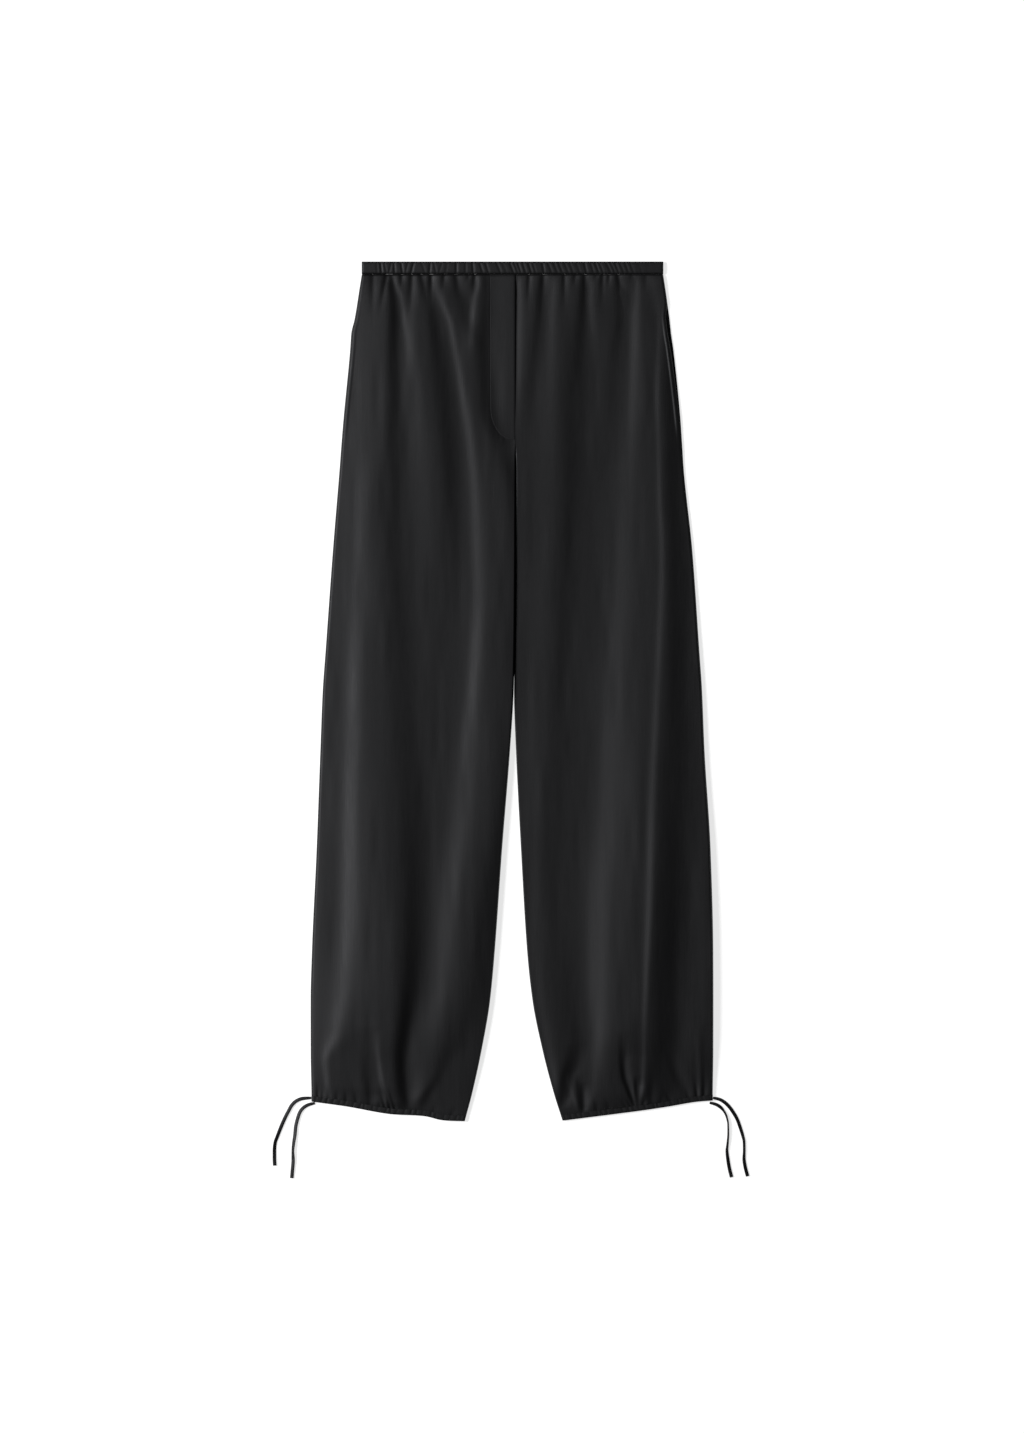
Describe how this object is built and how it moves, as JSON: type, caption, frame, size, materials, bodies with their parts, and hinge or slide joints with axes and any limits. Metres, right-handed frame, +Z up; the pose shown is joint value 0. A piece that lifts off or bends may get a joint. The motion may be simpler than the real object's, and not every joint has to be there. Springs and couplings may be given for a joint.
{
  "type": "gathered trousers with drawstring hems",
  "caption": "Wide satin trousers laid flat and face up, with an elastic ruched waist, a stitched fly, side pockets and hems drawn in by ties.",
  "frame": {"origin": "centre of the laid garment's box without its ties, on the surface that it lies on", "axes": "+Y from hems to waist, +Z up from the surface, +X towards the wearer's left"},
  "size_m": [0.5761, 1.1086, 0.017],
  "materials": {
    "satin": "soft black satin",
    "tie_satin": "narrow strips of the same satin"
  },
  "bodies": {
    "root": {"waistband_front": "satin", "waistband_back": "satin", "right_front_leg": "satin", "left_front_leg": "satin", "right_back_leg": "satin", "left_back_leg": "satin", "fly": "satin", "right_pocket_facing": "satin", "left_pocket_facing": "satin", "right_hem_channel_front": "satin", "right_hem_channel_back": "satin", "left_hem_channel_front": "satin", "left_hem_channel_back": "satin", "right_tie_upper": "tie_satin", "right_tie_lower": "tie_satin", "left_tie_upper": "tie_satin", "left_tie_lower": "tie_satin"}
  },
  "joints": []
}
